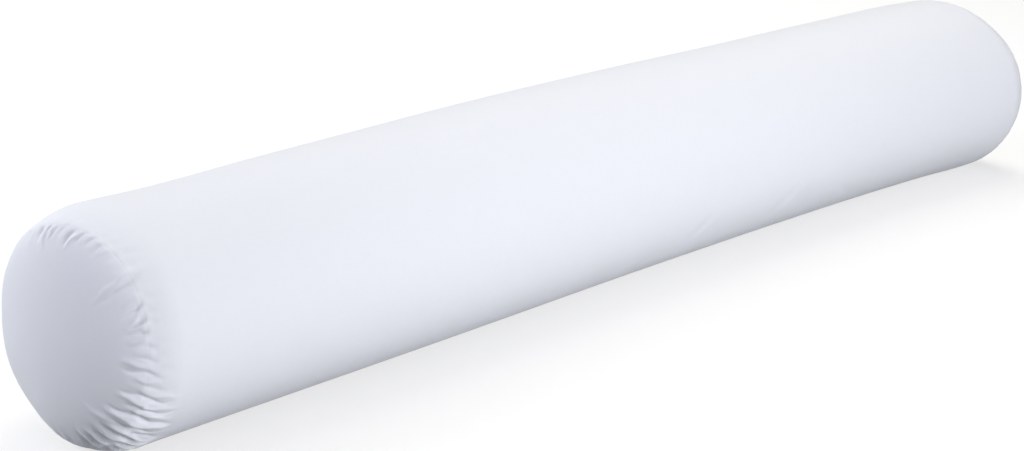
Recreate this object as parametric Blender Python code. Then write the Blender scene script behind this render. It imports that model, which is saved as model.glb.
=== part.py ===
"""Body pillow: one long round bolster in white cotton, stuffed firm and lying on its side.

A tube of cloth is gathered to a round panel at each end. The weight of the filling
presses a flat strip along the underside and leans both ends outwards at the foot.

Units are metres. +X runs along the pillow, +Z is up, and the origin is on the surface
that it lies on, under its middle. The turn of a point is its angle round the tube:
0 at the back (+Y), 90 on top, 180 at the front and 270 underneath.
"""
import math
import random
from collections import namedtuple

import bmesh
import bpy

# Driving dimensions
LENGTH = 1.400                  # over both domed ends, before they lean
DIAMETER = 0.226                # of the tube, before it settles
SEAM_DIAMETER = 0.208           # of both end seams
SHOULDER = 0.029                # stretch over which the tube draws in to a seam
DOME = 0.0335                   # how far an end panel stands out past its seam
DOME_POWER = 1.59               # 2 makes the dome an ellipsoid, 1 a paraboloid
CLOTH = 0.0016                  # thickness of an end panel
GAP = 0.0004                    # between neighbouring pieces

# The filling: how evenly it lies and how far it settles
MIDDLE_SWELL = 0.020            # extra radius at mid-length, as a share
RIGHT_FULLER = 0.042            # gain in radius from the left end to the right, as a share
WIDE = 1.02                     # the settled section is wider than it is high
TALL = 0.98
AXIS_HEIGHT = 0.1062
PRESS = 0.0028                  # rounds the edge of the flat strip underneath
BOW = 0.0154                    # the pillow bows to the back at mid-length
BOW_WAVE = 0.0034               # and a little to each side at its quarters

# The ends lean: out at the foot, in at the top, and a little to one side
Lean = namedtuple("Lean", "by_height by_side lift")
LEFT_LEAN = Lean(by_height=0.111, by_side=-0.076, lift=0.0133)
RIGHT_LEAN = Lean(by_height=0.085, by_side=0.087, lift=0.0)
LEAN_REACH = 0.181

# The gathers: the main folds of the left seam, and small ones evenly spaced between them.
# A turn is in degrees; a depth, and a reach on the tube or the end panel, in metres.
Fold = namedtuple("Fold", "turn depth on_tube on_end")
LEFT_FOLDS = (
    #    turn  depth   on_tube  on_end
    Fold(63.0, 0.0020, 0.014, 0.030),
    Fold(81.0, 0.0018, 0.008, 0.030),
    Fold(96.0, 0.0030, 0.010, 0.032),
    Fold(109.0, 0.0018, 0.008, 0.020),
    Fold(117.0, 0.0026, 0.008, 0.038),
    Fold(141.0, 0.0030, 0.014, 0.036),
    Fold(155.0, 0.0016, 0.010, 0.016),
    Fold(172.0, 0.0013, 0.008, 0.014),
    Fold(187.0, 0.0022, 0.018, 0.020),
    Fold(198.0, 0.0030, 0.026, 0.024),
    Fold(203.0, 0.0024, 0.026, 0.018),
    Fold(207.5, 0.0024, 0.032, 0.014),
    Fold(212.0, 0.0030, 0.024, 0.027),
    Fold(216.0, 0.0020, 0.032, 0.014),
    Fold(220.5, 0.0032, 0.024, 0.032),
    Fold(228.0, 0.0032, 0.030, 0.027),
    Fold(238.0, 0.0030, 0.032, 0.026),
)
FOLD_SPACING = 7.0              # degrees from one small fold to the next
SMALL_DEPTH = (0.0010, 0.0020)
SMALL_ON_TUBE = (0.012, 0.026)
SMALL_ON_END = (0.012, 0.030)
UNEVEN = 0.22                   # how far a small fold strays, as a share of the spacing
TUCK = 0.0020                   # the stitches pull the seam itself in by this much
TUCK_REACH = 0.003
FOLD_RISE = 0.006               # a fold is at its deepest this far from the stitches

# Rings of points: on a dome as shares of the seam's radius, on the tube as distances
DOME_RINGS = (1.0, 0.98, 0.94, 0.88, 0.80, 0.69, 0.50, 0.25, 0.0)
TUBE_RINGS = (0.0, 0.0045, 0.010, 0.018, 0.029, 0.046)
MIDDLE_RINGS = 9

RADIUS = DIAMETER / 2
SEAM_RADIUS = SEAM_DIAMETER / 2
SEAM_X = LENGTH / 2 - DOME
HALF_TUBE = SEAM_X - SHOULDER
LEFT, RIGHT = -1, 1

# A point of the outline that is spun: where it is, and how a fold moves it
Station = namedtuple("Station", "x radius from_seam inward_x inward_radius")


def clear_scene():
    """Remove every object, so that only the pillow is left."""
    for old in list(bpy.data.objects):
        bpy.data.objects.remove(old, do_unlink=True)


def cloth_material(name, colour, roughness):
    """A plain cotton cloth."""
    material = bpy.data.materials.new(name)
    material.use_nodes = True
    shader = material.node_tree.nodes["Principled BSDF"]
    shader.inputs["Base Color"].default_value = (*colour, 1.0)
    shader.inputs["Roughness"].default_value = roughness
    shader.inputs["Metallic"].default_value = 0.0
    return material


def small_fold(turn, dice):
    """One of the small gathers, of uneven depth and reach."""
    return Fold(
        turn=turn + dice.uniform(-UNEVEN, UNEVEN) * FOLD_SPACING,
        depth=dice.uniform(*SMALL_DEPTH),
        on_tube=dice.uniform(*SMALL_ON_TUBE),
        on_end=dice.uniform(*SMALL_ON_END),
    )


def gathers_between(main_folds, dice):
    """The main folds with small ones evenly spaced between them, all the way round."""
    folds = []
    for index, fold in enumerate(main_folds):
        following = main_folds[(index + 1) % len(main_folds)].turn
        room = (following - fold.turn) % 360.0
        pitches = max(1, round(room / FOLD_SPACING))
        folds.append(fold)
        for pitch in range(1, pitches):
            folds.append(small_fold(fold.turn + room * pitch / pitches, dice))
    return folds


def gathers_all_round(count, first_turn, dice):
    """Small folds only, evenly spaced all the way round."""
    return [small_fold(first_turn + 360.0 * index / count, dice) for index in range(count)]


def ring_turns(folds):
    """The turns of a ring's points: a ridge before each fold, then the fold itself."""
    turns = []
    before = folds[-1].turn - 360.0
    for fold in folds:
        turns.extend(((before + fold.turn) / 2, fold.turn))
        before = fold.turn
    return turns


def inset(outline, depth):
    """The outline moved in by a depth, with the direction in which each point moved.

    The outline holds (out, radius) pairs from the seam to the axis. The cloth is
    level at its seam and upright on the axis, so both ends move straight in.
    """
    moved = []
    last = len(outline) - 1
    for index, (out, radius) in enumerate(outline):
        if index == 0:
            inward = (0.0, -1.0)
        elif index == last:
            inward = (-1.0, 0.0)
        else:
            run = outline[index + 1][0] - outline[index - 1][0]
            fall = outline[index + 1][1] - outline[index - 1][1]
            length = math.hypot(run, fall)
            inward = (fall / length, -run / length)
        moved.append((out + inward[0] * depth, radius + inward[1] * depth, inward))
    return moved


def dome_stations(end, depth):
    """Stations of a domed end, a depth under its outer face, from the seam to the axis."""
    outline = []
    for share in DOME_RINGS:
        out = DOME * (1.0 - share ** 2) ** (1.0 / DOME_POWER)
        outline.append((out, SEAM_RADIUS * share))
    stations = []
    from_seam = 0.0
    for index, (out, radius, inward) in enumerate(inset(outline, depth)):
        if index:
            from_seam += math.dist(outline[index - 1], outline[index])
        x = end * (SEAM_X + GAP / 2 + out)
        stations.append(Station(x, radius, from_seam, end * inward[0], inward[1]))
    return stations


def tube_stations(end):
    """Stations of the tube's drawn-in stretch, from the seam inwards."""
    stations = []
    for distance in TUBE_RINGS:
        short = max(0.0, 1.0 - distance / SHOULDER)
        radius = RADIUS - (RADIUS - SEAM_RADIUS) * short ** 2
        x = end * (SEAM_X - GAP / 2 - distance)
        stations.append(Station(x, radius, -distance, 0.0, -1.0))
    return stations


def filled_tube_outline():
    """The stuffed tube from its left end to its right, with room for an end panel on each."""
    halves = {}
    for end in (LEFT, RIGHT):
        under_panel = dome_stations(end, CLOTH + GAP)
        shoulder = tube_stations(end)
        step = shoulder[0]._replace(radius=SEAM_RADIUS - CLOTH - GAP)
        halves[end] = under_panel[:0:-1] + [step] + shoulder
    start = halves[LEFT][-1].x
    reach = halves[RIGHT][-1].x - start
    middle = []
    for ring in range(1, MIDDLE_RINGS):
        x = start + reach * ring / MIDDLE_RINGS
        middle.append(Station(x, RADIUS, -abs(abs(x) - SEAM_X), 0.0, -1.0))
    return halves[LEFT] + middle + halves[RIGHT][::-1]


def end_panel_outline(end):
    """An end panel from the middle of its outer face round its edge to its inner face."""
    outer = dome_stations(end, 0.0)
    inner = dome_stations(end, CLOTH)
    return outer[::-1] + inner


def fold_depth(fold, from_seam):
    """How far a fold draws the cloth in at a distance from the seam, over the end if positive."""
    reach = fold.on_end if from_seam > 0 else fold.on_tube
    distance = abs(from_seam)
    share = min(1.0, distance / reach)
    fading = (1.0 - share) ** 2 * (1.0 + 2.0 * share)
    rise = 0.6 + 0.4 * min(1.0, distance / FOLD_RISE)
    return fold.depth * fading * rise


def settle(x, radius, turn):
    """Where a point of the straight, round blank comes to lie in the stuffed pillow."""
    along = x / HALF_TUBE
    swell = MIDDLE_SWELL * max(0.0, 1.0 - along ** 2)
    radius *= 1.0 + swell + RIGHT_FULLER * along / 2
    to_back = radius * WIDE * math.cos(math.radians(turn))
    to_top = radius * TALL * math.sin(math.radians(turn))

    end, lean = (LEFT, LEFT_LEAN) if x < 0 else (RIGHT, RIGHT_LEAN)
    past_tube = abs(x) - HALF_TUBE
    leaning = min(1.0, max(0.0, 1.0 + past_tube / LEAN_REACH)) ** 2
    outward = -leaning * (lean.by_height * to_top + lean.by_side * to_back)
    doming = min(1.0, max(0.0, past_tube / (SHOULDER + DOME)))

    y = BOW * (1.0 - along ** 2) + BOW_WAVE * math.sin(math.pi * along) + to_back
    z = AXIS_HEIGHT + to_top + lean.lift * doming ** 2
    if z <= -PRESS:
        z = 0.0
    elif z < PRESS:
        z = (z + PRESS) ** 2 / (4 * PRESS)
    return x + end * outward, y, z


def spin_blank(outline, steps):
    """Spin an outline that starts and ends on the X axis, and keep each point's station."""
    blank = bmesh.new()
    station_number = blank.verts.layers.int.new("station")
    before = None
    for number, station in enumerate(outline):
        point = blank.verts.new((station.x, station.radius, 0.0))
        point[station_number] = number
        if before:
            blank.edges.new((before, point))
        before = point
    bmesh.ops.spin(
        blank,
        geom=blank.verts[:] + blank.edges[:],
        cent=(0.0, 0.0, 0.0),
        axis=(1.0, 0.0, 0.0),
        angle=math.tau,
        steps=steps,
        use_merge=True,
    )
    bmesh.ops.remove_doubles(blank, verts=blank.verts[:], dist=0.00001)
    bmesh.ops.recalc_face_normals(blank, faces=blank.faces[:])
    return blank, station_number


def split_faces(blank, outline, station_number, steps):
    """Split each four-sided face from its fold's point nearer a seam.

    The layers of cloth over each other are split alike, so their gap stays even.
    """
    for face in blank.faces[:]:
        if len(face.verts) != 4:
            continue
        folded = [v for v in face.verts if point_number(v, steps) % 2]
        ridge = [v for v in face.verts if not point_number(v, steps) % 2]
        near = min(folded, key=lambda v: abs(outline[v[station_number]].from_seam))
        far = max(ridge, key=lambda v: abs(outline[v[station_number]].from_seam))
        shared_edge = any(far in edge.verts for edge in near.link_edges)
        if not shared_edge:
            bmesh.utils.face_split(face, near, far)


def point_number(vert, steps):
    """The number of a blank's point in its ring."""
    return round(math.atan2(vert.co.z, vert.co.y) / math.tau * steps) % steps


def make_piece(name, outline, gathers, material, collection):
    """Spin an outline, fold and settle its points, and link it as an object."""
    steps = 2 * len(gathers[LEFT])
    turns = {end: ring_turns(folds) for end, folds in gathers.items()}
    blank, station_number = spin_blank(outline, steps)
    split_faces(blank, outline, station_number, steps)
    for vert in blank.verts:
        station = outline[vert[station_number]]
        number = point_number(vert, steps)
        to_right = min(1.0, max(0.0, 0.5 + station.x / (2 * HALF_TUBE)))
        turn = turns[LEFT][number] * (1.0 - to_right) + turns[RIGHT][number] * to_right
        draw = TUCK * max(0.0, 1.0 - abs(station.from_seam) / TUCK_REACH)
        if number % 2:
            folds = gathers[LEFT if station.x < 0 else RIGHT]
            draw += fold_depth(folds[number // 2], station.from_seam)
        x = station.x + station.inward_x * draw
        radius = station.radius + station.inward_radius * draw
        vert.co = settle(x, max(0.0, radius), turn)

    mesh = bpy.data.meshes.new(name)
    blank.to_mesh(mesh)
    blank.free()
    mesh.shade_smooth()
    mesh.set_sharp_from_angle(angle=math.radians(50.0))
    mesh.materials.append(material)
    piece = bpy.data.objects.new(name, mesh)
    collection.objects.link(piece)
    return piece


def centre_over_origin(pieces):
    """Move the pieces together so that the origin is under the middle of their outline."""
    points = [vert.co for piece in pieces for vert in piece.data.vertices]
    middle_x = (min(p.x for p in points) + max(p.x for p in points)) / 2
    middle_y = (min(p.y for p in points) + max(p.y for p in points)) / 2
    for piece in pieces:
        for vert in piece.data.vertices:
            vert.co.x -= middle_x
            vert.co.y -= middle_y


def build():
    """Make the body pillow: the filled tube and its two end panels."""
    clear_scene()
    collection = bpy.data.collections.new("body_pillow")
    bpy.context.scene.collection.children.link(collection)

    left = gathers_between(LEFT_FOLDS, random.Random(11))
    right = gathers_all_round(len(left), LEFT_FOLDS[0].turn, random.Random(23))
    gathers = {LEFT: left, RIGHT: right}

    tube_cotton = cloth_material("tube_cotton", (0.84, 0.86, 0.90), 0.85)
    panel_cotton = cloth_material("end_panel_cotton", (0.82, 0.84, 0.88), 0.85)
    pieces = [
        make_piece("filled_tube", filled_tube_outline(), gathers, tube_cotton, collection),
        make_piece("end_panel_left", end_panel_outline(LEFT), gathers, panel_cotton, collection),
        make_piece("end_panel_right", end_panel_outline(RIGHT), gathers, panel_cotton, collection),
    ]
    centre_over_origin(pieces)


build()
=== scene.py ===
"""Looks of the body pillow: a long round bolster in white cotton, stuffed firm, on a pale floor.

Metres, with +X along the pillow and +Z up. The turn of a point is its angle round the
tube: 0 at the back (+Y), 90 on top, 180 at the front and 270 underneath.
"""
import math
import random
from collections import namedtuple

import bmesh
import bpy
import numpy as np
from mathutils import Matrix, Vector


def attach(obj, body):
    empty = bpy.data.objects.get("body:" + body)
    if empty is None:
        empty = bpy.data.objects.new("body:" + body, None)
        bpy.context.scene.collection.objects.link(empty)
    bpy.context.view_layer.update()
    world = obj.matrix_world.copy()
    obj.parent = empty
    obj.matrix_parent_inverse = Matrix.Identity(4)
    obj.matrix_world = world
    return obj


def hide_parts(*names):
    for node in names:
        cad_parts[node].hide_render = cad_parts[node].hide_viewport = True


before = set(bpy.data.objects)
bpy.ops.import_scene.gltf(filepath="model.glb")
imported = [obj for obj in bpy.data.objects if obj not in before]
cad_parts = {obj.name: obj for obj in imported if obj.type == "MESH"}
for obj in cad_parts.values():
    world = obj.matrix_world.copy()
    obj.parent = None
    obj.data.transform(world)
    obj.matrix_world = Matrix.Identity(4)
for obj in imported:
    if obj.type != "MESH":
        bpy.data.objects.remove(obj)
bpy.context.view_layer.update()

# ---- How the pillow is stuffed -------------------------------------------------------
# One tube of cotton and two round panels, packed tight with fibre. Its weight presses a
# flat strip along the underside and leans both ends outwards at the foot.
LENGTH = 1.400                  # over both domed ends, before they lean
TUBE_RADIUS = 0.113
SEAM_RADIUS = 0.104
SHOULDER = 0.029                # stretch over which the tube draws in to a seam
DOME = 0.0335                   # how far an end panel stands out past its seam
DOME_POWER = 1.59               # 2 makes the dome an ellipsoid, 1 a paraboloid
MIDDLE_SWELL = 0.020            # extra radius at mid-length, as a share
RIGHT_FULLER = 0.042            # gain in radius from the left end to the right, as a share
WIDE = 1.02                     # the settled section is wider than it is high
TALL = 0.98
AXIS_HEIGHT = 0.1062
PRESS = 0.0028                  # rounds the edge of the flat strip underneath
BOW = 0.0154                    # the pillow bows to the back at mid-length
BOW_WAVE = 0.0034               # and a little to each side at its quarters
ORIGIN = np.array([-0.00008, 0.00856, 0.0])     # the frame starts under the outline's middle
LEFT, RIGHT = -1, 1

Lean = namedtuple("Lean", "by_height by_side lift")
LEANS = {
    LEFT: Lean(by_height=0.111, by_side=-0.076, lift=0.0133),
    RIGHT: Lean(by_height=0.085, by_side=0.087, lift=0.0),
}
LEAN_REACH = 0.181

# Where the fibre is packed a little more or less: soft rises and dips of the surface
Lump = namedtuple("Lump", "x turn reach spread height")
FILLING_LUMPS = (
    #    x        turn  reach  spread   height
    Lump(-0.545,  85.0, 0.080,   50.0, -0.0019),
    Lump(-0.170,  85.0, 0.150,   50.0,  0.0017),
    Lump(0.240,   85.0, 0.140,   50.0, -0.0021),
    Lump(0.570,   85.0, 0.080,   50.0,  0.0018),
    Lump(-0.330, 190.0, 0.110,   35.0,  0.0010),
    Lump(-0.040, 205.0, 0.100,   30.0, -0.0012),
    Lump(0.160,  175.0, 0.120,   35.0,  0.0010),
    Lump(0.410,  205.0, 0.090,   30.0, -0.0012),
    Lump(-0.400, 330.0, 0.130,   40.0, -0.0012),
    Lump(0.050,   10.0, 0.140,   40.0,  0.0014),
    Lump(0.420,  350.0, 0.120,   40.0, -0.0014),
    Lump(-0.640,  66.0, 0.035,   30.0,  0.0014),
    Lump(-0.690, 356.0, 0.035,   22.0, -0.0036),
    Lump(-0.690, 302.0, 0.040,   18.0, -0.0030),
    Lump(-0.670, 274.0, 0.030,   14.0,  0.0018),
    Lump(0.620,  236.0, 0.050,   30.0,  0.0020),
    Lump(0.668,  124.0, 0.030,   16.0, -0.0014),
)

SEAM_X = LENGTH / 2 - DOME
HALF_TUBE = SEAM_X - SHOULDER


def turn_between(turns, other):
    """The smaller angle between two turns, in degrees."""
    return np.abs((turns - other + 180.0) % 360.0 - 180.0)


def packing(x, turns):
    """How far the packed fibre lifts the surface at each point of a ring."""
    lift = np.zeros_like(turns)
    for lump in FILLING_LUMPS:
        along = (x - lump.x) / lump.reach
        across = turn_between(turns, lump.turn) / lump.spread
        lift += lump.height * np.exp(-along ** 2 - across ** 2)
    return lift


def settle(x, radius, turns):
    """Where the points of a straight, round ring come to lie in the stuffed pillow."""
    along = x / HALF_TUBE
    swell = MIDDLE_SWELL * np.maximum(0.0, 1.0 - along ** 2)
    fullness = 1.0 + swell + RIGHT_FULLER * along / 2 + packing(x, turns) / TUBE_RADIUS
    to_back = radius * fullness * WIDE * np.cos(np.radians(turns))
    to_top = radius * fullness * TALL * np.sin(np.radians(turns))

    end = LEFT if np.mean(x) < 0.0 else RIGHT
    lean = LEANS[end]
    past_tube = np.abs(x) - HALF_TUBE
    leaning = np.clip(1.0 + past_tube / LEAN_REACH, 0.0, 1.0) ** 2
    outward = -leaning * (lean.by_height * to_top + lean.by_side * to_back)
    doming = np.clip(past_tube / (SHOULDER + DOME), 0.0, 1.0)

    y = BOW * (1.0 - along ** 2) + BOW_WAVE * np.sin(np.pi * along) + to_back
    z = AXIS_HEIGHT + to_top + lean.lift * doming ** 2
    pressed = np.clip(z + PRESS, 0.0, 2 * PRESS) ** 2 / (4 * PRESS)
    return np.stack([x + end * outward, y, np.where(z < PRESS, pressed, z)], axis=-1) - ORIGIN


# ---- The gathered ends -----------------------------------------------------------------
# Each panel is cut as a flat disc, and its edge and the tube's are both longer than the
# seam that joins them. The stitches gather the spare cloth into folds on both sides, which
# don't line up: a fold of the panel often meets a hollow of the tube.
SEAM_ROUNDING = 0.0065          # the stuffing rounds the corner at the seam this far each way
SEAM_SLIDE = 0.012              # the left seam lies further in on the end, near the top
SLIDE_TURN, SLIDE_SPREAD, SLIDE_REACH = 78.0, 40.0, 0.060

# A ridge has a height above 0 and a hollow one below 0. Distances run from the seam, above
# 0 on the panel and below 0 on the tube, and drift is in degrees for each metre of them.
Fold = namedtuple("Fold", "turn drift near far width height")
LEFT_PANEL_FOLDS = (
    #    turn    drift    near    far  width   height
    Fold(57.0,     0.0,  0.000, 0.028,   2.0, -0.0008),
    Fold(62.5,     0.0,  0.000, 0.030,   2.0,  0.0008),
    Fold(70.2,     0.0, -0.001, 0.026,   1.9, -0.0018),
    Fold(75.0,    40.0,  0.000, 0.038,   2.0,  0.0015),
    Fold(77.4,     0.0, -0.001, 0.018,   0.9, -0.0013),
    Fold(80.2,     0.0,  0.000, 0.022,   1.3,  0.0016),
    Fold(83.2,     0.0,  0.000, 0.018,   1.3, -0.0008),
    Fold(88.5,  -150.0, -0.003, 0.015,   1.8, -0.0006),
    Fold(96.2,     0.0, -0.001, 0.026,   1.7, -0.0017),
    Fold(100.4,  -60.0,  0.000, 0.030,   1.5,  0.0016),
    Fold(103.8,  -60.0, -0.002, 0.020,   1.2, -0.0010),
    Fold(107.0,    0.0, -0.003, 0.016,   1.5,  0.0008),
    Fold(110.0,    0.0, -0.001, 0.015,   1.1, -0.0010),
    Fold(113.2,    0.0, -0.003, 0.016,   1.4,  0.0008),
    Fold(116.4,    0.0, -0.001, 0.020,   1.4, -0.0010),
    Fold(119.8,    0.0, -0.003, 0.016,   1.5,  0.0008),
    Fold(125.0,    0.0, -0.004, 0.014,   1.7, -0.0007),
    Fold(136.0,  200.0, -0.018, 0.052,   1.6,  0.0022),
    Fold(139.2,  200.0, -0.013, 0.044,   1.5, -0.0021),
    Fold(147.6,  250.0, -0.004, 0.018,   1.4,  0.0015),
    Fold(151.6,  350.0, -0.003, 0.022,   1.4, -0.0022),
    Fold(155.0,  450.0, -0.003, 0.023,   1.3,  0.0021),
    Fold(158.6,  350.0, -0.003, 0.022,   1.3, -0.0024),
    Fold(162.2,  150.0, -0.004, 0.021,   1.3,  0.0021),
    Fold(165.2,  100.0, -0.003, 0.024,   1.2, -0.0023),
    Fold(168.6,  150.0, -0.004, 0.020,   1.3,  0.0019),
    Fold(172.2,   60.0, -0.008, 0.016,   1.2, -0.0017),
    Fold(175.6,    0.0, -0.007, 0.015,   1.2,  0.0014),
    Fold(178.6,    0.0, -0.008, 0.014,   1.1, -0.0013),
    Fold(182.0,    0.0, -0.004, 0.028,   1.8,  0.0022),
    Fold(185.9,    0.0, -0.010, 0.025,   1.4, -0.0029),
    Fold(189.7,    0.0, -0.012, 0.014,   1.2,  0.0019),
    Fold(194.2,    0.0, -0.004, 0.020,   1.9,  0.0011),
    Fold(198.6,   20.0, -0.013, 0.024,   1.3, -0.0033),
    Fold(202.1,    0.0, -0.010, 0.026,   1.5,  0.0026),
    Fold(205.5,    0.0, -0.004, 0.017,   1.2, -0.0019),
    Fold(208.0,    0.0, -0.004, 0.013,   1.1,  0.0015),
    Fold(211.0,   80.0, -0.014, 0.029,   1.4, -0.0038),
    Fold(215.2,   30.0, -0.010, 0.032,   1.9,  0.0030),
    Fold(220.6,    0.0, -0.014, 0.023,   1.6, -0.0037),
    Fold(224.6,    0.0, -0.010, 0.025,   1.5,  0.0027),
    Fold(219.4,  180.0,  0.008, 0.046,   2.3,  0.0017),
    Fold(228.1,    0.0, -0.011, 0.023,   1.4, -0.0033),
    Fold(232.3,    0.0, -0.009, 0.027,   1.7,  0.0026),
    Fold(236.2,    0.0, -0.005, 0.027,   1.3, -0.0026),
    Fold(239.3,  160.0, -0.008, 0.028,   1.7,  0.0030),
    Fold(243.7,    0.0, -0.005, 0.023,   1.4, -0.0028),
    Fold(247.9,    0.0, -0.008, 0.030,   1.8,  0.0022),
    Fold(252.4,    0.0, -0.005, 0.025,   1.6, -0.0022),
)
LEFT_TUBE_FOLDS = (
    #    turn    drift   near     far  width   height
    Fold(187.8,    0.0, 0.008, -0.014,   1.1, -0.0013),
    Fold(193.6,    0.0, 0.006, -0.026,   1.5, -0.0012),
    Fold(197.2,  -20.0, 0.008, -0.034,   1.3,  0.0019),
    Fold(200.2,  -30.0, 0.007, -0.028,   1.0, -0.0023),
    Fold(204.2,  -20.0, 0.009, -0.036,   1.3,  0.0021),
    Fold(207.0,  -20.0, 0.006, -0.036,   1.0, -0.0026),
    Fold(209.4,  -50.0, 0.007, -0.036,   1.1,  0.0019),
    Fold(211.9, -130.0, 0.008, -0.042,   1.1, -0.0028),
    Fold(216.4,  -30.0, 0.010, -0.042,   1.3,  0.0024),
    Fold(219.7,  -60.0, 0.006, -0.030,   1.2, -0.0021),
    Fold(223.1, -100.0, 0.005, -0.040,   1.3, -0.0021),
    Fold(225.9, -140.0, 0.005, -0.050,   1.2,  0.0020),
    Fold(228.5, -160.0, 0.006, -0.048,   1.0, -0.0022),
    Fold(231.0, -180.0, 0.007, -0.050,   1.1,  0.0018),
    Fold(233.6, -200.0, 0.006, -0.052,   1.1, -0.0022),
    Fold(236.3, -200.0, 0.006, -0.050,   1.2,  0.0019),
    Fold(239.5, -200.0, 0.006, -0.048,   1.2, -0.0022),
    Fold(242.9, -150.0, 0.006, -0.042,   1.3,  0.0016),
    Fold(246.7, -100.0, 0.006, -0.040,   1.3, -0.0018),
)
FOLD_RISE = 0.35                # share of its length over which a fold grows to its full height
FOLD_WAVE = 0.6                 # folds wind from side to side by this many degrees
FOLD_WAVE_LENGTH = 0.024
RIGHT_MIRROR = 165.0            # the turns of a large fold and of its twin add up to this
RIGHT_SOFTER = 0.6
SMALL_FOLDS = 50                # on each side of a seam, all the way round
SMALL_DEPTH = (0.0006, 0.0017)
SMALL_WIDTH = 0.3               # of a small fold, as a share of the spacing
SMALL_ON_TUBE = (0.010, 0.030)
SMALL_ON_PANEL = (0.012, 0.032)
UNEVEN = 0.30                   # how far a small fold strays, as a share of the spacing
TUCK = 0.00015                  # the stitches pull the seam itself in by this much
TUCK_REACH = 0.0022
FULLEST_TURN = {LEFT: 232.0, RIGHT: 293.0}  # most of the spare cloth is gathered in here
FULL_SPREAD = 42.0
LEAST_FULL = 0.25

STEPS = 520                     # points of a ring
FINE_TURNS = ((58.0, 122.0), (178.0, 252.0))    # where the left end's points lie closer
FINE_SHARE = 2.2
PANEL_RINGS = 88
PANEL_CROWDING = 1.25           # above 1, rings lie closer near the seam
GATHERED_RINGS = 48
GATHERED_LENGTH = 0.100         # of the tube, simulated together with the panel
TUBE_CROWDING = 1.45
SEAM_RING = PANEL_RINGS
SIMULATED = 2                   # the simulation has every second ring and point
DOME_POINTS, NECK_POINTS = 600, 800         # of the ends' outline, as it is first drawn
OUTLINE_STEP = 0.00025          # from one point of the finished outline to the next
ROUNDING_STEPS = 60             # the corner's rounding is worked out this many steps each way
RING_APART = 0.001              # between rings, while a piece's grid is being spun
SAME_POINT = 0.000002           # points closer than this are one


def small_folds(reaches, side, first_turn, dice):
    """Small gathers on one side of a seam, unevenly spaced and of uneven size."""
    spacing = 360.0 / SMALL_FOLDS
    folds = []
    for index in range(SMALL_FOLDS):
        turn = first_turn + (index + dice.uniform(-UNEVEN, UNEVEN)) * spacing
        folds.append(Fold(turn=turn, drift=0.0, near=0.0, far=side * dice.uniform(*reaches),
                          width=spacing * SMALL_WIDTH, height=-dice.uniform(*SMALL_DEPTH)))
    return folds


def twin_folds(folds):
    """The right end's large folds, which mirror the left end's and are softer."""
    return [fold._replace(turn=RIGHT_MIRROR - fold.turn, drift=-fold.drift,
                          height=fold.height * RIGHT_SOFTER) for fold in folds]


LEFT_DICE, RIGHT_DICE = random.Random(11), random.Random(23)
SMALL_GATHERS = {
    LEFT: (small_folds(SMALL_ON_PANEL, 1, 0.0, LEFT_DICE)
           + small_folds(SMALL_ON_TUBE, -1, 3.6, LEFT_DICE)),
    RIGHT: (small_folds(SMALL_ON_PANEL, 1, 2.0, RIGHT_DICE)
            + small_folds(SMALL_ON_TUBE, -1, 5.6, RIGHT_DICE)),
}
LARGE_GATHERS = {
    LEFT: LEFT_PANEL_FOLDS + LEFT_TUBE_FOLDS,
    RIGHT: twin_folds(LEFT_PANEL_FOLDS + LEFT_TUBE_FOLDS),
}


def ring_turns(fine_turns):
    """The turns of a ring's points, closer together in the given stretches."""
    fine_turn = np.arange(0.0, 360.0, 0.25)
    share = np.ones_like(fine_turn)
    for first, last in fine_turns:
        share[(fine_turn - first) % 360.0 <= last - first] = FINE_SHARE
    reached = np.append(0.0, np.cumsum(share))
    return np.interp(np.arange(STEPS) / STEPS * reached[-1], reached, np.append(fine_turn, 360.0))


TURNS = {
    LEFT: ring_turns(FINE_TURNS),
    RIGHT: ring_turns([(RIGHT_MIRROR - last, RIGHT_MIRROR - first) for first, last in FINE_TURNS]),
}


def end_outline():
    """Distances from the seam, with how far out and how wide the filling is at each."""
    leans = np.linspace(0.0, math.pi / 2, DOME_POINTS)
    widths = SEAM_RADIUS * np.sin(leans)
    outs = DOME * np.cos(leans) ** (2.0 / DOME_POWER)
    arcs = np.append(0.0, np.cumsum(np.hypot(np.diff(outs), np.diff(widths))))
    distances = arcs[-1] - arcs
    along = np.linspace(0.0, 2 * GATHERED_LENGTH, NECK_POINTS)[1:]
    short = np.clip(1.0 - along / SHOULDER, 0.0, None)
    distances = np.concatenate([distances, -along])[::-1]
    outs = np.concatenate([outs, -along])[::-1]
    widths = np.concatenate([widths, TUBE_RADIUS - (TUBE_RADIUS - SEAM_RADIUS) * short ** 2])[::-1]
    even = np.arange(distances[0], distances[-1], OUTLINE_STEP)
    outs = np.interp(even, distances, outs)
    widths = np.interp(even, distances, widths)
    reach = np.arange(-ROUNDING_STEPS, ROUNDING_STEPS + 1) * OUTLINE_STEP
    bell = np.exp(-(reach / SEAM_ROUNDING) ** 2)
    bell /= bell.sum()
    near_seam = np.clip(1.0 - np.abs(even) / (4 * SEAM_ROUNDING), 0.0, 1.0) ** 0.5
    for line in (outs, widths):
        rounded = np.convolve(np.pad(line, ROUNDING_STEPS, "edge"), bell, "valid")
        line += near_seam * (rounded - line)
    return even, outs, widths


DISTANCES, OUTS, WIDTHS = end_outline()
OUT_SLOPES = np.gradient(OUTS, DISTANCES)
WIDTH_SLOPES = np.gradient(WIDTHS, DISTANCES)
PANEL_ARC = float(DISTANCES[-1])
FROM_SEAM = np.concatenate([
    PANEL_ARC * (np.arange(PANEL_RINGS, 0, -1) / PANEL_RINGS) ** PANEL_CROWDING,
    -GATHERED_LENGTH * (np.arange(GATHERED_RINGS + 1) / GATHERED_RINGS) ** TUBE_CROWDING,
])


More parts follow.
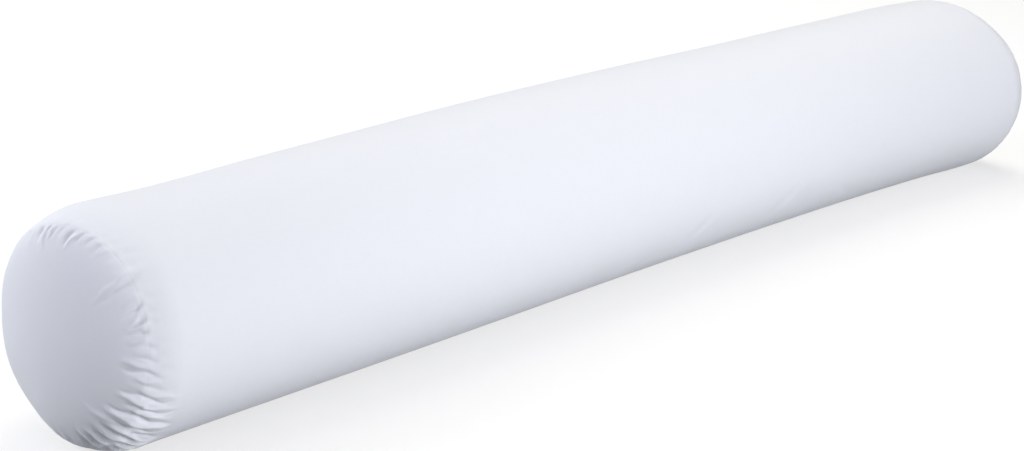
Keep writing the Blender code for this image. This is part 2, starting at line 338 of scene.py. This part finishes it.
def gathered_share(end, turns):
    """How much of the spare cloth is gathered in at a turn, from 0 to 1."""
    bell = np.exp(-(turn_between(turns, FULLEST_TURN[end]) / FULL_SPREAD) ** 2)
    return LEAST_FULL + (1.0 - LEAST_FULL) * bell


def fold_heights(folds, from_seam, turns):
    """How far the folds lift the cloth at each point of a ring."""
    heights = np.zeros_like(turns)
    for fold in folds:
        along = (from_seam - fold.near) / (fold.far - fold.near)
        if 0.0 < along < 1.0:
            winding = FOLD_WAVE * math.sin(math.tau * from_seam / FOLD_WAVE_LENGTH + fold.turn)
            middle = fold.turn + fold.drift * from_seam + winding
            rising = min(1.0, along / FOLD_RISE)
            shape = rising ** 2 * (3.0 - 2.0 * rising) * (1.0 - along ** 3) ** 2
            heights += fold.height * shape * np.exp(-(turn_between(turns, middle) / fold.width) ** 2)
    return heights


def sewn_ring(end, from_seam, turns, large_folds):
    """Where a ring of the sewn cloth lies on the filling, before the cloth itself gives."""
    place = np.full_like(turns, from_seam)
    if end == LEFT:
        bell = np.exp(-(turn_between(turns, SLIDE_TURN) / SLIDE_SPREAD) ** 2)
        place += SEAM_SLIDE * bell * max(0.0, 1.0 - (from_seam / SLIDE_REACH) ** 2) ** 2
    place = np.minimum(place, PANEL_ARC)
    out_slope = np.interp(place, DISTANCES, OUT_SLOPES)
    width_slope = np.interp(place, DISTANCES, WIDTH_SLOPES)
    steepness = np.hypot(out_slope, width_slope)

    height = gathered_share(end, turns) * fold_heights(SMALL_GATHERS[end], from_seam, turns)
    height += fold_heights(large_folds, from_seam, turns)
    height -= TUCK * max(0.0, 1.0 - abs(from_seam) / TUCK_REACH)
    x = SEAM_X + np.interp(place, DISTANCES, OUTS) - height * width_slope / steepness
    radius = np.interp(place, DISTANCES, WIDTHS) + height * out_slope / steepness
    if from_seam == PANEL_ARC:
        radius = np.zeros_like(turns)
    return settle(end * x, np.maximum(radius, 0.0), turns)


def spin_rings(outline, steps):
    """Spin an outline of (x, radius) pairs, and return it with each point's ring and step."""
    blank = bmesh.new()
    ring_layer = blank.verts.layers.int.new("ring")
    before = None
    for number, (x, radius) in enumerate(outline):
        point = blank.verts.new((x, radius, 0.0))
        point[ring_layer] = number
        if before:
            blank.edges.new((before, point))
        before = point
    bmesh.ops.spin(
        blank,
        geom=blank.verts[:] + blank.edges[:],
        cent=(0.0, 0.0, 0.0),
        axis=(1.0, 0.0, 0.0),
        angle=math.tau,
        steps=steps,
        use_merge=True,
    )
    bmesh.ops.remove_doubles(blank, verts=blank.verts[:], dist=SAME_POINT)
    bmesh.ops.recalc_face_normals(blank, faces=blank.faces[:])
    places = {}
    for vert in blank.verts:
        step = round(math.atan2(vert.co.z, vert.co.y) / math.tau * steps) % steps
        places[vert] = (vert[ring_layer], step)
    return blank, places


def smoothed(rows, times, wraps):
    """The rows, each evened out with its neighbours."""
    for _ in range(times):
        before, after = np.roll(rows, 1, axis=0), np.roll(rows, -1, axis=0)
        if not wraps:
            before[0], after[-1] = rows[0], rows[-1]
        rows = (before + 2.0 * rows + after) / 4.0
    return rows


def twice_as_fine(rows, wraps):
    """Put a new row between every two, and smooth the others a little."""
    before, after = np.roll(rows, 1, axis=0), np.roll(rows, -1, axis=0)
    if not wraps:
        before[0], after[-1] = rows[0], rows[-1]
    finer = np.empty((2 * len(rows), *rows.shape[1:]))
    finer[0::2] = (before + 6.0 * rows + after) / 8.0
    finer[1::2] = (rows + after) / 2.0
    return finer if wraps else finer[:-1]


CLOTH_FRAMES = 14
SEWING_FRAMES = 5               # in which the seam draws in from the cut size
HOLD = 0.5                      # how firmly the filling holds the cloth, up to 1
HOLD_MIDDLE = 0.85              # the same in the middle of the panel
HOLD_TUBE = 0.9                 # and at the far end of the gathered stretch
LOOSE_PANEL = 0.020             # the hold on the panel grows from here
TUBE_TAUT = 0.060               # and the hold on the tube from here
GIVE_SHARE = 0.75               # of the cloth's own movement, where the folds are fullest
MOST_GIVE = 0.0035              # the cloth moves no further than this
GIVE_REACH = 0.080              # and not at all this far from the seam
SMOOTH_RINGS, SMOOTH_STEPS = 6, 3           # the cloth's finest crinkles are evened out


def cut_ring(end, from_seam, turns):
    """Where a ring lies on the cut cloth, with the disc held flat against the tube."""
    cut_radius = PANEL_ARC - from_seam if from_seam > 0.0 else TUBE_RADIUS
    return settle(end * (SEAM_X + min(0.0, from_seam)), cut_radius, turns)


def hold_at(from_seam):
    """How firmly the filling holds a ring of the cloth."""
    if from_seam > 0.0:
        past = np.clip((from_seam - LOOSE_PANEL) / LOOSE_PANEL, 0.0, 1.0)
        return HOLD + (HOLD_MIDDLE - HOLD) * past
    past = np.clip((-from_seam - TUBE_TAUT) / (GATHERED_LENGTH - TUBE_TAUT), 0.0, 1.0)
    return HOLD + (HOLD_TUBE - HOLD) * past


def cloth_give(end):
    """Sew one end with Blender's cloth, and return how far each of its points gives."""
    turns, from_seams = TURNS[end][::SIMULATED], FROM_SEAM[::SIMULATED]
    cut = np.array([cut_ring(end, from_seam, turns) for from_seam in from_seams])
    sewn = np.array([sewn_ring(end, from_seam, turns, ()) for from_seam in from_seams])
    blank, places = spin_rings([(end * number * RING_APART, max(0.0, PANEL_ARC - from_seam))
                                for number, from_seam in enumerate(from_seams)], len(turns))
    order = [places[vert] for vert in blank.verts]
    for vert in blank.verts:
        vert.co = cut[places[vert]]
    mesh = bpy.data.meshes.new("gathering_cloth")
    blank.to_mesh(mesh)
    blank.free()
    cloth = bpy.data.objects.new("gathering_cloth", mesh)
    bpy.context.scene.collection.objects.link(cloth)
    held = cloth.vertex_groups.new(name="held")
    seam_ring, last_ring = SEAM_RING // SIMULATED, len(from_seams) - 1
    for index, (ring, _) in enumerate(order):
        fixed = ring in (seam_ring, last_ring)
        held.add([index], 1.0 if fixed else hold_at(from_seams[ring]), "REPLACE")
    cloth.shape_key_add(name="cut")
    drawn_in = cloth.shape_key_add(name="sewn")
    for point, key in zip(drawn_in.data, order):
        point.co = sewn[key]
    for frame_number, value in ((1, 0.0), (1 + SEWING_FRAMES, 1.0)):
        drawn_in.value = value
        drawn_in.keyframe_insert("value", frame=frame_number)

    modifier = cloth.modifiers.new("cotton", "CLOTH")
    cotton = modifier.settings
    cotton.quality = 5
    cotton.mass = 0.01
    cotton.tension_stiffness = 15.0
    cotton.compression_stiffness = 15.0
    cotton.shear_stiffness = 2.0
    cotton.bending_stiffness = 0.001
    cotton.tension_damping = 0.01
    cotton.compression_damping = 0.01
    cotton.shear_damping = 0.01
    cotton.bending_damping = 0.001
    cotton.air_damping = 1.0
    cotton.use_pressure = True
    cotton.uniform_pressure_force = 4.0
    cotton.vertex_group_mass = held.name
    cotton.pin_stiffness = 1.0
    cotton.effector_weights.gravity = 0.0
    modifier.collision_settings.use_collision = False
    modifier.collision_settings.use_self_collision = False
    modifier.point_cache.frame_start = 1
    modifier.point_cache.frame_end = CLOTH_FRAMES
    for frame_number in range(1, CLOTH_FRAMES + 1):
        bpy.context.scene.frame_set(frame_number)
    settled = cloth.evaluated_get(bpy.context.evaluated_depsgraph_get()).data
    give = np.zeros_like(sewn)
    for vert, key in zip(settled.vertices, order):
        give[key] = np.array(vert.co) - sewn[key]
    give[0] = give[0, 0]
    bpy.data.objects.remove(cloth, do_unlink=True)
    bpy.context.scene.frame_set(1)
    give = smoothed(give, SMOOTH_RINGS, wraps=False).swapaxes(0, 1)
    give = smoothed(give, SMOOTH_STEPS, wraps=True).swapaxes(0, 1)
    nearness = np.clip(2.0 - 2.0 * np.abs(from_seams) / GIVE_REACH, 0.0, 1.0)
    give *= GIVE_SHARE * nearness[:, None, None] * gathered_share(end, turns)[None, :, None]
    length = np.linalg.norm(give, axis=2, keepdims=True)
    return give * np.minimum(1.0, MOST_GIVE / np.maximum(length, 1e-9))


def gather_end(end):
    """The finished points of one end's cloth, by ring and step."""
    points = np.array([sewn_ring(end, from_seam, TURNS[end], LARGE_GATHERS[end])
                       for from_seam in FROM_SEAM])
    give = twice_as_fine(cloth_give(end), wraps=False).swapaxes(0, 1)
    points += twice_as_fine(give, wraps=True).swapaxes(0, 1)
    points[..., 2] = np.maximum(points[..., 2], 0.0)
    return points


POINTS = {end: gather_end(end) for end in (LEFT, RIGHT)}

# ---- White cotton ------------------------------------------------------------------------
# All the pieces are cut from one plain-weave cotton, bleached white and quite matt. Its
# threads show close up, and its face is a little uneven from sewing and handling.
THREADS_ROUND = 1400            # lengthwise threads round the tube
THREAD = math.tau * TUBE_RADIUS / THREADS_ROUND
CROWN_HEIGHT = 0.00003          # of a thread's crown over the hollows between threads
SLUB_HEIGHT = 0.00002           # more, where the yarn is thick
SLUB_WIDTH = 1.6                # of a thick place, in threads
SLUB_STRETCH = 0.03             # its width as a share of its length
SLUB_SHADE = 0.8                # how far slubs lighten the cloth, along the mix from the hollows' painted shade to the crowns' painted light
ROUGHNESS, SLUB_ROUGHNESS = 0.82, 0.16          # of thin yarn, and how much more thick yarn has
PUCKER_SIZE, PUCKER_HEIGHT = 0.016, 0.00012     # small soft unevenness from sewing
RUMPLE_SIZE, RUMPLE_HEIGHT = 0.055, 0.00050     # broader unevenness from handling
# The colour is painted darker in the hollows between threads and lighter on their crowns: painted
# shade and painted light.
HOLLOW_PAINTED_SHADE = 0.94             # painted shade: share of the colour kept in the hollows between the threads
CROWN_PAINTED_LIGHT = 1.02


def calculate(tree, operation, *values):
    """Add a Math node, fed by sockets or numbers, and return what it puts out."""
    node = tree.nodes.new("ShaderNodeMath")
    node.operation = operation
    for socket, value in zip(node.inputs, values):
        if isinstance(value, bpy.types.NodeSocket):
            tree.links.new(value, socket)
        else:
            socket.default_value = value
    return node.outputs[0]


def uneven(tree, place, size):
    """Soft noise from 0 to 1, with features of the given size."""
    node = tree.nodes.new("ShaderNodeTexNoise")
    tree.links.new(place, node.inputs["Vector"])
    node.inputs["Scale"].default_value = 1.0 / size
    node.inputs["Detail"].default_value = 2.0
    return node.outputs["Fac"]


def stretched(tree, across, along, share):
    """A place that changes slowly along one way of the threads."""
    node = tree.nodes.new("ShaderNodeCombineXYZ")
    tree.links.new(across, node.inputs["X"])
    tree.links.new(calculate(tree, "MULTIPLY", along, share), node.inputs["Y"])
    return node.outputs["Vector"]


weave = bpy.data.node_groups.new("plain_weave", "ShaderNodeTree")
weave.interface.new_socket("Threads", in_out="INPUT", socket_type="NodeSocketVector")
weave.interface.new_socket("Place", in_out="INPUT", socket_type="NodeSocketVector")
weave.interface.new_socket("Thread Width", in_out="INPUT", socket_type="NodeSocketFloat")
for output_name in ("Height", "Shade", "Roughness"):
    weave.interface.new_socket(output_name, in_out="OUTPUT", socket_type="NodeSocketFloat")
given = weave.nodes.new("NodeGroupInput")
made = weave.nodes.new("NodeGroupOutput")
ways = weave.nodes.new("ShaderNodeSeparateXYZ")
weave.links.new(given.outputs["Threads"], ways.inputs["Vector"])
warp_count = calculate(weave, "DIVIDE", ways.outputs["X"], given.outputs["Thread Width"])
weft_count = calculate(weave, "DIVIDE", ways.outputs["Y"], given.outputs["Thread Width"])

# Each warp thread runs over one weft thread and under the next
warp = calculate(weave, "SINE", calculate(weave, "MULTIPLY", warp_count, math.pi))
weft = calculate(weave, "SINE", calculate(weave, "MULTIPLY", weft_count, math.pi))
crossing = calculate(weave, "MULTIPLY", warp, weft)
warp_crown = calculate(weave, "ADD", calculate(weave, "ABSOLUTE", warp), crossing)
weft_crown = calculate(weave, "SUBTRACT", calculate(weave, "ABSOLUTE", weft), crossing)
crown = calculate(weave, "MULTIPLY", calculate(weave, "MAXIMUM", warp_crown, weft_crown), 0.5)

# Slubs are thick places of single threads, and run along them
warp_slub = uneven(weave, stretched(weave, warp_count, weft_count, SLUB_STRETCH), SLUB_WIDTH)
weft_slub = uneven(weave, stretched(weave, weft_count, warp_count, SLUB_STRETCH), SLUB_WIDTH)
slub = calculate(weave, "MULTIPLY", calculate(weave, "ADD", warp_slub, weft_slub), 0.5)

height = calculate(weave, "MULTIPLY", crown, CROWN_HEIGHT)
height = calculate(weave, "MULTIPLY_ADD", slub, SLUB_HEIGHT, height)
pucker = uneven(weave, given.outputs["Place"], PUCKER_SIZE)
height = calculate(weave, "MULTIPLY_ADD", pucker, PUCKER_HEIGHT, height)
rumple = uneven(weave, given.outputs["Place"], RUMPLE_SIZE)
height = calculate(weave, "MULTIPLY_ADD", rumple, RUMPLE_HEIGHT, height)
weave.links.new(height, made.inputs["Height"])
# The Shade output paints shade into the hollows between threads and light onto their crowns, and
# lightens the thick yarn of slubs.
thick = calculate(weave, "MULTIPLY_ADD", slub, SLUB_SHADE, -SLUB_SHADE / 2)
shade = calculate(weave, "ADD", crown, thick)
weave.links.new(shade, made.inputs["Shade"])
roughness = calculate(weave, "MULTIPLY_ADD", slub, SLUB_ROUGHNESS, ROUGHNESS)
weave.links.new(roughness, made.inputs["Roughness"])

Crease = namedtuple("Crease", "turn x length slant width height")
LONG_SEAM_TURN = 270.0          # where the tube's two long edges meet, underneath


def round_place(turn):
    """How far round the tube a turn lies, in metres from its long seam."""
    return math.radians((turn - LONG_SEAM_TURN) % 360.0) * TUBE_RADIUS


def crease_heights(tree, threads, creases, height):
    """Add small creases to a height, each a soft line on the flat cloth."""
    for crease in creases:
        line = tree.nodes.new("ShaderNodeMapping")
        line.vector_type = "TEXTURE"
        line.inputs["Location"].default_value = (round_place(crease.turn), crease.x, 0.0)
        line.inputs["Rotation"].default_value = (0.0, 0.0, math.radians(crease.slant))
        line.inputs["Scale"].default_value = (crease.length, crease.width, 1.0)
        tree.links.new(threads, line.inputs["Vector"])
        away = tree.nodes.new("ShaderNodeVectorMath")
        away.operation = "DOT_PRODUCT"
        tree.links.new(line.outputs["Vector"], away.inputs[0])
        tree.links.new(line.outputs["Vector"], away.inputs[1])
        fall = calculate(tree, "MULTIPLY", away.outputs["Value"], -1.0)
        bell = calculate(tree, "EXPONENT", fall)
        height = calculate(tree, "MULTIPLY_ADD", bell, crease.height, height)
    return height


def white_cotton(name, colour, creases=()):
    """Matt white cotton with its weave, on a cloth whose UV map holds its flat place."""
    material = bpy.data.materials.new(name)
    material.use_nodes = True
    tree = material.node_tree
    shader = tree.nodes["Principled BSDF"]
    flat_cloth = tree.nodes.new("ShaderNodeUVMap")
    flat_cloth.uv_map = "threads"
    on_piece = tree.nodes.new("ShaderNodeTexCoord")
    cloth = tree.nodes.new("ShaderNodeGroup")
    cloth.node_tree = weave
    cloth.inputs["Thread Width"].default_value = THREAD
    tree.links.new(flat_cloth.outputs["UV"], cloth.inputs["Threads"])
    tree.links.new(on_piece.outputs["Object"], cloth.inputs["Place"])

    # Painted shade and light: the colour runs from darker in the hollows between threads to lighter
    # on their crowns and slubs.
    weave_colour_with_painted_shade = tree.nodes.new("ShaderNodeMix")
    weave_colour_with_painted_shade.data_type = "RGBA"
    weave_colour_with_painted_shade.inputs["A"].default_value = (*[part * HOLLOW_PAINTED_SHADE for part in colour], 1.0)
    weave_colour_with_painted_shade.inputs["B"].default_value = (*[part * CROWN_PAINTED_LIGHT for part in colour], 1.0)
    tree.links.new(cloth.outputs["Shade"], weave_colour_with_painted_shade.inputs["Factor"])
    tree.links.new(weave_colour_with_painted_shade.outputs["Result"], shader.inputs["Base Color"])
    tree.links.new(cloth.outputs["Roughness"], shader.inputs["Roughness"])

    relief = tree.nodes.new("ShaderNodeBump")
    relief.inputs["Distance"].default_value = 1.0
    height = crease_heights(tree, flat_cloth.outputs["UV"], creases, cloth.outputs["Height"])
    tree.links.new(height, relief.inputs["Height"])
    tree.links.new(relief.outputs["Normal"], shader.inputs["Normal"])
    shader.inputs["Sheen Weight"].default_value = 0.15
    shader.inputs["Sheen Roughness"].default_value = 0.5
    shader.inputs["Specular IOR Level"].default_value = 0.35
    return material


# ---- End panels --------------------------------------------------------------------------
# A round panel of the same cotton closes each end, the right one cut a little larger. Its
# edge is turned in and sewn to the tube's from the inside, so that no stitches show.
PANEL_THICKNESS = 0.0012
SEAM_ALLOWANCE = 0.006          # width of the turned-in edges
TURNED_BACK = 0.002             # the turned-in edges point at a spot this far behind the seam
SEAM_GAP = 0.00003              # from the seam's middle to each piece


def turned_in_ring(end):
    """Where the turned-in edges end, behind the seam."""
    middle = settle(end * (SEAM_X - TURNED_BACK), 0.0, TURNS[end])
    return POINTS[end][SEAM_RING] + (middle - POINTS[end][SEAM_RING]) * SEAM_ALLOWANCE / SEAM_RADIUS


def lay_threads(blank, places, thread_place, round_length=0.0):
    """Write each point's place on the flat cloth, in metres, as the piece's UV map."""
    threads = blank.loops.layers.uv.new("threads")
    for face in blank.faces:
        corners = [thread_place(*places[loop.vert]) for loop in face.loops]
        furthest = max(across for across, _ in corners)
        for loop, (across, along) in zip(face.loops, corners):
            if furthest - across > round_length / 2 > 0.0:
                across += round_length      # the face crosses the long seam
            loop[threads].uv = (across, along)


def shade_round(blank, places, seam_rings):
    """Shade the cloth smooth, but for the edges where it turns in at a seam."""
    for face in blank.faces:
        face.smooth = True
    for edge in blank.edges:
        numbers = {places[vert][0] for vert in edge.verts}
        edge.smooth = not (len(numbers) == 1 and numbers <= seam_rings)


def link_piece(cloth, name, material):
    """Make finished cloth an object."""
    mesh = bpy.data.meshes.new(name)
    cloth.to_mesh(mesh)
    cloth.free()
    mesh.materials.append(material)
    piece = bpy.data.objects.new(name, mesh)
    bpy.context.scene.collection.objects.link(piece)
    return piece


panel_cotton = white_cotton("panel_cotton", (0.82, 0.84, 0.88))
for end, node in ((LEFT, "end_panel_left"), (RIGHT, "end_panel_right")):
    cuts = list(PANEL_ARC - FROM_SEAM[:SEAM_RING + 1]) + [PANEL_ARC + SEAM_ALLOWANCE]
    rings = list(POINTS[end][:SEAM_RING + 1]) + [turned_in_ring(end)]
    blank, places = spin_rings([(end * (SEAM_X - RING_APART * number), cut)
                                for number, cut in enumerate(cuts)], STEPS)
    for vert, (number, step) in places.items():
        vert.co = rings[number][step]
        if number >= SEAM_RING:
            vert.co.x += end * SEAM_GAP

    def disc_threads(number, step, cuts=cuts, turns=TURNS[end]):
        """A point of the flat disc, with its threads running straight across."""
        angle = math.radians(turns[step])
        return (cuts[number] * math.cos(angle), cuts[number] * math.sin(angle))

    lay_threads(blank, places, disc_threads)
    shade_round(blank, places, {SEAM_RING})
    bmesh.ops.solidify(blank, geom=blank.faces[:], thickness=PANEL_THICKNESS)
    piece = link_piece(blank, node.replace("end_panel", "panel"), panel_cotton)
    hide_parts(node)
    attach(piece, "root")

# ---- Tube --------------------------------------------------------------------------------
# The long tube, packed with fibre. Its long seam is hidden underneath, and its filling is
# closed off behind each end panel.
MIDDLE_RINGS = 64
STOPPER_DOME = 0.014            # the filling behind a panel, well clear of its cloth
STOPPER_SHARES = (0.0, 0.5, 0.85)

Hoop = namedtuple("Hoop", "x radius points turns")


def plain_hoop(x, radius):
    """A ring of the tube away from its gathers, whose turns change evenly along it."""
    free = SEAM_X - GATHERED_LENGTH
    share = min(1.0, max(0.0, (x + free) / (2 * free)))
    turns = (1.0 - share) * TURNS[LEFT] + share * TURNS[RIGHT]
    return Hoop(x, radius, settle(x, radius, turns), turns)


def end_hoops(end):
    """The rings of one end of the tube, from the middle of its stopper inwards."""
    hoops = [plain_hoop(end * (SEAM_X + STOPPER_DOME * (1.0 - share ** 2)), SEAM_RADIUS * share)
             for share in STOPPER_SHARES]
    hoops.append(Hoop(end * SEAM_X, SEAM_RADIUS - SEAM_ALLOWANCE, turned_in_ring(end), TURNS[end]))
    for ring in range(SEAM_RING, len(FROM_SEAM)):
        width = float(np.interp(FROM_SEAM[ring], DISTANCES, WIDTHS))
        hoops.append(Hoop(end * (SEAM_X + FROM_SEAM[ring]), width, POINTS[end][ring], TURNS[end]))
    return hoops


left_hoops, right_hoops = end_hoops(LEFT), end_hoops(RIGHT)
middle_hoops = [plain_hoop(x, TUBE_RADIUS)
                for x in np.linspace(left_hoops[-1].x, right_hoops[-1].x, MIDDLE_RINGS)[1:-1]]
hoops = left_hoops + middle_hoops + right_hoops[::-1]
left_seam = len(STOPPER_SHARES) + 1
right_seam = len(hoops) - 1 - left_seam

blank, places = spin_rings([(hoop.x, hoop.radius) for hoop in hoops], STEPS)
for vert, (number, step) in places.items():
    vert.co = hoops[number].points[step]
    if number in (left_seam - 1, left_seam):
        vert.co.x += SEAM_GAP
    elif number in (right_seam, right_seam + 1):
        vert.co.x -= SEAM_GAP


def tube_threads(number, step):
    """A point of the tube's cloth, laid flat."""
    return (round_place(hoops[number].turns[step]), hoops[number].x)


# Soft creases where the tube bulges over its flat strip, and a few from handling
TUBE_CREASES = (
    #      turn        x  length  slant   width   height
    Crease(204.5,  0.058,  0.018, 136.0, 0.0080, -0.0014),
    Crease(201.0,  0.084,  0.018, 132.0, 0.0090,  0.0009),
    Crease(205.5,  0.205,  0.020, 129.0, 0.0090, -0.0013),
    Crease(199.5,  0.236,  0.020, 122.0, 0.0100,  0.0008),
    Crease(223.5, -0.042,  0.007, 140.0, 0.0022, -0.0008),
    Crease(219.0, -0.030,  0.012, 136.0, 0.0040,  0.0006),
    Crease(214.0,  0.330,  0.020,  60.0, 0.0050, -0.0005),
    Crease(226.0, -0.260,  0.018, 118.0, 0.0050, -0.0005),
    Crease(338.0, -0.180,  0.024,  62.0, 0.0060, -0.0005),
    Crease(332.0,  0.120,  0.020,  48.0, 0.0050, -0.0005),
    Crease(326.0,  0.150,  0.018,  54.0, 0.0060,  0.0004),
    Crease(342.0,  0.390,  0.024, 120.0, 0.0060, -0.0004),
    Crease(40.0,  -0.420,  0.026, 150.0, 0.0070, -0.0003),
)

lay_threads(blank, places, tube_threads, round_length=math.tau * TUBE_RADIUS)
shade_round(blank, places, {left_seam, right_seam})
tube_cotton = white_cotton("tube_cotton", (0.84, 0.86, 0.90), TUBE_CREASES)
tube = link_piece(blank, "tube", tube_cotton)
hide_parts("filled_tube")
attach(tube, "root")

# ---- Floor, light and camera ---------------------------------------------------------------
# The pillow lies on a pale studio floor. Low soft lights in front, others above and two
# behind the left end leave that end's face and the underside in shade.
FLOOR_GREY = 0.40
FLOOR_GLOW = 0.64               # the floor looks nearly white, but throws back little light
FLOOR_REACH = 12.0              # from its middle to each side
CAMERA_PLACE = (-1.3951285, -1.3041082, 0.6759731)
CAMERA_DOWN = math.radians(18.14692)            # how far it looks down
CAMERA_BEARING = math.radians(45.99631)         # which way it looks, from +X round to +Y

floor_mesh = bpy.data.meshes.new("floor")
floor_blank = bmesh.new()
bmesh.ops.create_grid(floor_blank, x_segments=1, y_segments=1, size=FLOOR_REACH)
floor_blank.to_mesh(floor_mesh)
floor_blank.free()
floor = bpy.data.objects.new("floor", floor_mesh)
bpy.context.scene.collection.objects.link(floor)
floor_paint = bpy.data.materials.new("floor_paint")
floor_paint.use_nodes = True
paint = floor_paint.node_tree.nodes["Principled BSDF"]
paint.inputs["Base Color"].default_value = (FLOOR_GREY, FLOOR_GREY, FLOOR_GREY, 1.0)
paint.inputs["Roughness"].default_value = 1.0
paint.inputs["Specular IOR Level"].default_value = 0.0
paint.inputs["Emission Color"].default_value = (FLOOR_GLOW, FLOOR_GLOW, FLOOR_GLOW, 1.0)
seen = floor_paint.node_tree.nodes.new("ShaderNodeLightPath")
floor_paint.node_tree.links.new(seen.outputs["Is Camera Ray"], paint.inputs["Emission Strength"])
floor_mesh.materials.append(floor_paint)

world = bpy.data.worlds.new("studio")
bpy.context.scene.world = world
world.use_nodes = True
surroundings = world.node_tree.nodes["Background"]
surroundings.inputs["Color"].default_value = (0.95, 0.97, 1.0, 1.0)
surroundings.inputs["Strength"].default_value = 0.06

SoftLight = namedtuple("SoftLight", "name bearing height distance width power colour")
SOFT_LIGHTS = (
    #         name          bearing  height  distance  width  power  colour
    SoftLight("front_near",   268.0,   10.0,      1.8,   1.0,  17.8, (1.0, 0.99, 0.98)),
    SoftLight("front_low",    268.0,   10.0,      3.2,   1.8,  31.7, (0.83, 0.86, 1.0)),
    SoftLight("left_top",     215.0,   60.0,      3.2,   1.8,   9.9, (0.87, 0.83, 1.0)),
    SoftLight("rim_low",      125.0,   10.0,      3.2,   1.8,  17.4, (0.99, 1.0, 0.93)),
    SoftLight("rim_high",     150.0,   25.0,      3.2,   1.8,  51.2, (0.89, 0.91, 1.0)),
    SoftLight("overhead",      30.0,   70.0,      3.2,   2.2,  48.8, (1.0, 0.97, 0.91)),
    SoftLight("back_top",      60.0,   45.0,      3.2,   1.8,  25.6, (0.98, 1.0, 0.96)),
)
LIT_POINT = Vector((0.0, 0.0, 0.1))

for soft in SOFT_LIGHTS:
    bearing, height = math.radians(soft.bearing), math.radians(soft.height)
    outward = Vector((math.cos(height) * math.cos(bearing),
                      math.cos(height) * math.sin(bearing), math.sin(height)))
    lamp = bpy.data.lights.new(soft.name, "AREA")
    lamp.shape = "DISK"
    lamp.size = soft.width
    lamp.energy = soft.power
    lamp.color = soft.colour
    light = bpy.data.objects.new(soft.name, lamp)
    light.location = LIT_POINT + outward * soft.distance
    light.rotation_euler = (-outward).to_track_quat("-Z", "Y").to_euler()
    light.visible_camera = False
    bpy.context.scene.collection.objects.link(light)

camera_data = bpy.data.cameras.new("camera")
camera_data.lens = 63.28125
camera_data.sensor_width = 36.0
camera = bpy.data.objects.new("camera", camera_data)
camera.location = CAMERA_PLACE
camera.rotation_euler = (math.pi / 2 - CAMERA_DOWN, 0.0, CAMERA_BEARING - math.pi / 2)
bpy.context.scene.collection.objects.link(camera)
bpy.context.scene.camera = camera
bpy.context.scene.view_settings.view_transform = "Standard"
